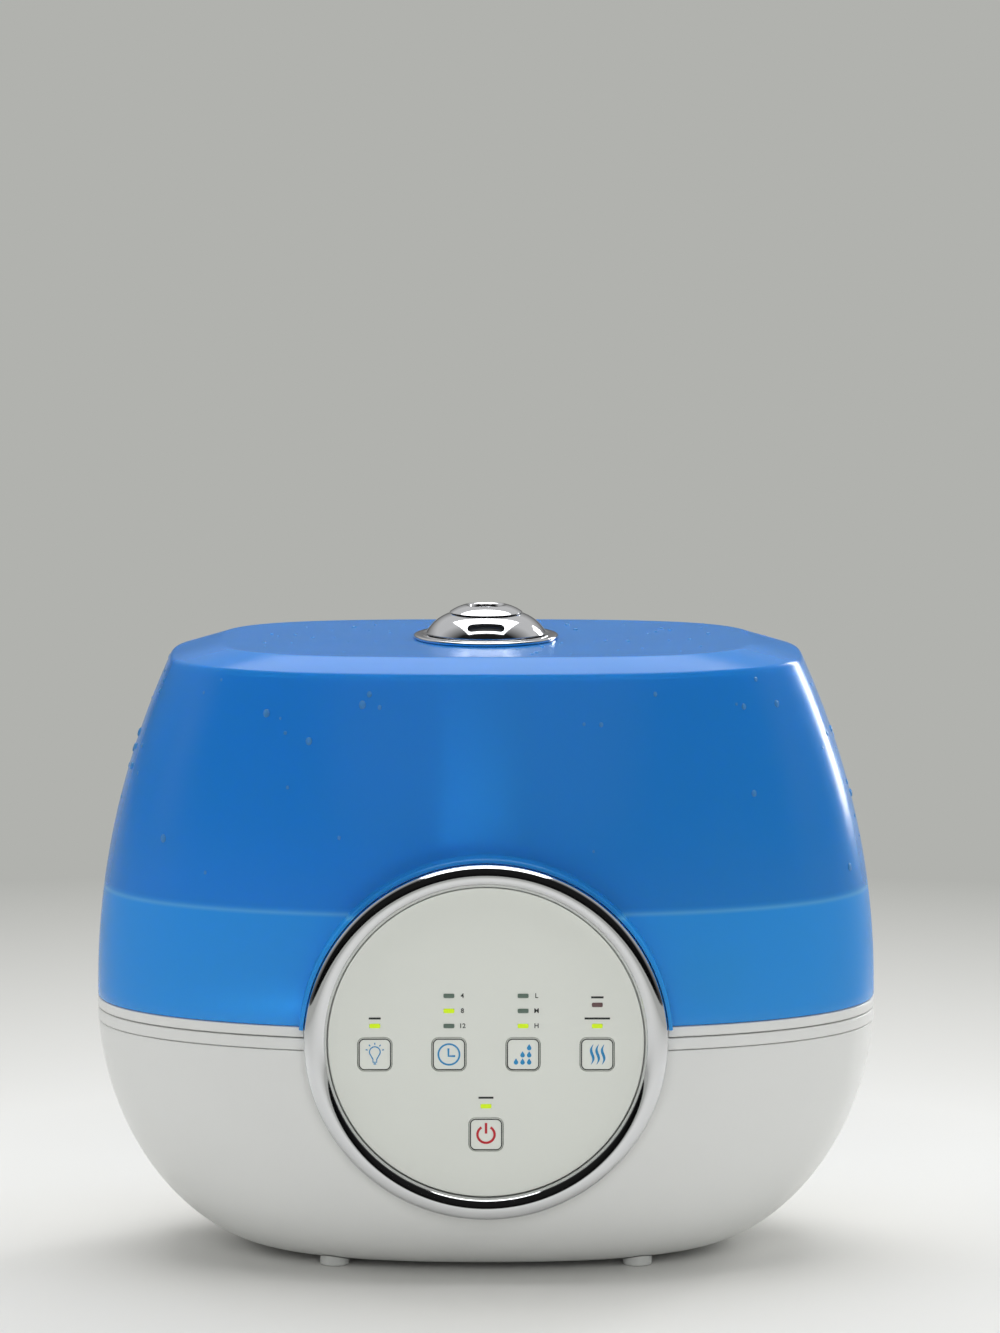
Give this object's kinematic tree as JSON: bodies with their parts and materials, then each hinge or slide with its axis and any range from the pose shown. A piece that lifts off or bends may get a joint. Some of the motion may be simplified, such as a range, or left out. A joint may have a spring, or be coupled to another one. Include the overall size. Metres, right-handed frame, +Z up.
{
  "type": "ultrasonic humidifier",
  "caption": "Table-top warm and cool mist humidifier: a lift-off blue water tank with a chromed mist nozzle on a bowl-shaped white base with a round key panel.",
  "frame": {"origin": "on the surface it stands on, under the middle of the object's box", "axes": "+X to the right along the long side, +Y to the back away from the control panel, +Z up"},
  "size_m": [0.3208, 0.1846, 0.2664],
  "materials": {
    "tank_blue": "translucent blue tank plastic, clear and glossy outside",
    "white_plastic": "satin white moulded plastic",
    "panel_plastic": "smooth light grey panel, fine satin",
    "chrome": "polished chrome plating",
    "grey_plastic": "moulded mid grey plastic",
    "dark_plastic": "moulded dark grey plastic",
    "rubber": "soft grey rubber",
    "silicone": "pale silicone rubber",
    "clear_plastic": "clear light-carrying plastic",
    "circuit_board": "green solder mask",
    "brass": "plated brass disc",
    "steel": "plain bright steel",
    "aluminium": "extruded aluminium",
    "filter_foam": "open-cell filter foam",
    "resin": "teal cartridge of ion-exchange resin"
  },
  "bodies": {
    "base": {"base_housing": "white_plastic", "base_deck": "white_plastic", "bottom_cover": "white_plastic", "cord_gland": "rubber", "cover_screw_1": "steel", "cover_screw_2": "steel", "cover_screw_3": "steel", "cover_screw_4": "steel", "foot_1": "rubber", "foot_2": "rubber", "foot_3": "rubber", "foot_4": "rubber", "fan_housing": "dark_plastic", "air_filter": "filter_foam", "mist_chamber": "white_plastic", "transducer": "brass", "transducer_gasket": "silicone", "heater_plate": "steel", "float_guide": "white_plastic", "air_duct": "white_plastic", "main_board": "circuit_board", "transformer": "dark_plastic", "heat_sink": "aluminium", "night_light_lens": "clear_plastic", "panel_housing": "white_plastic", "bezel_ring": "chrome", "control_panel": "panel_plastic", "light_guide": "clear_plastic", "control_board": "circuit_board", "switch_light": "dark_plastic", "switch_timer": "dark_plastic", "switch_mist": "dark_plastic", "switch_warm": "dark_plastic", "switch_power": "dark_plastic"},
    "tank": {"tank_shell": "tank_blue", "tank_floor": "white_plastic", "mist_chimney": "tank_blue", "nozzle_flange": "chrome"},
    "nozzle": {"nozzle_dome": "chrome", "nozzle_outlet": "chrome", "nozzle_insert": "dark_plastic"},
    "cap": {"filler_cap": "grey_plastic", "cap_gasket": "silicone", "demineralization_cartridge": "resin"},
    "valve": {"valve_stem": "white_plastic", "valve_seal": "silicone", "valve_spring": "steel"},
    "float_ring": {"float": "silicone"},
    "fan": {"fan_rotor": "dark_plastic"},
    "light_key": {"key_light": "panel_plastic"},
    "timer_key": {"key_timer": "panel_plastic"},
    "mist_key": {"key_mist": "panel_plastic"},
    "warm_key": {"key_warm": "panel_plastic"},
    "power_key": {"key_power": "panel_plastic"}
  },
  "joints": [
    {"name": "tank_lift", "type": "slide", "parent": "base", "child": "tank", "axis": [0, 0, 1], "range_m": [0, 0.2]},
    {"name": "nozzle_turn", "type": "hinge", "parent": "tank", "child": "nozzle", "pos_m": [0, 0.00428, 0.256], "axis": [0, 0, 1], "continuous": true},
    {"name": "cap_turn", "type": "hinge", "parent": "tank", "child": "cap", "pos_m": [0.09, 0.00428, 0.09], "axis": [0, 0, 1], "range_deg": [0, 90]},
    {"name": "valve_close", "type": "slide", "parent": "tank", "child": "valve", "axis": [0, 0, 1], "range_m": [-0.0025, 0], "deforming": ["valve_spring"]},
    {"name": "float_rise", "type": "slide", "parent": "base", "child": "float_ring", "axis": [0, 0, 1], "range_m": [0, 0.01]},
    {"name": "fan_spin", "type": "hinge", "parent": "base", "child": "fan", "pos_m": [-0.036, 0.00428, 0.02], "axis": [0, 0, 1], "continuous": true},
    {"name": "light_key_press", "type": "slide", "parent": "base", "child": "light_key", "axis": [0, 0.999, 0.0436], "range_m": [0, 0.0005], "stiffness_N_per_m": 1500, "springref_m": -0.0005},
    {"name": "timer_key_press", "type": "slide", "parent": "base", "child": "timer_key", "axis": [0, 0.999, 0.0436], "range_m": [0, 0.0005], "stiffness_N_per_m": 1500, "springref_m": -0.0005},
    {"name": "mist_key_press", "type": "slide", "parent": "base", "child": "mist_key", "axis": [0, 0.999, 0.0436], "range_m": [0, 0.0005], "stiffness_N_per_m": 1500, "springref_m": -0.0005},
    {"name": "warm_key_press", "type": "slide", "parent": "base", "child": "warm_key", "axis": [0, 0.999, 0.0436], "range_m": [0, 0.0005], "stiffness_N_per_m": 1500, "springref_m": -0.0005},
    {"name": "power_key_press", "type": "slide", "parent": "base", "child": "power_key", "axis": [0, 0.999, 0.0436], "range_m": [0, 0.0005], "stiffness_N_per_m": 1500, "springref_m": -0.0005}
  ],
  "couplings": [
    {"joint": "valve_close", "follows": "tank_lift", "ratio": -0.0125}
  ]
}
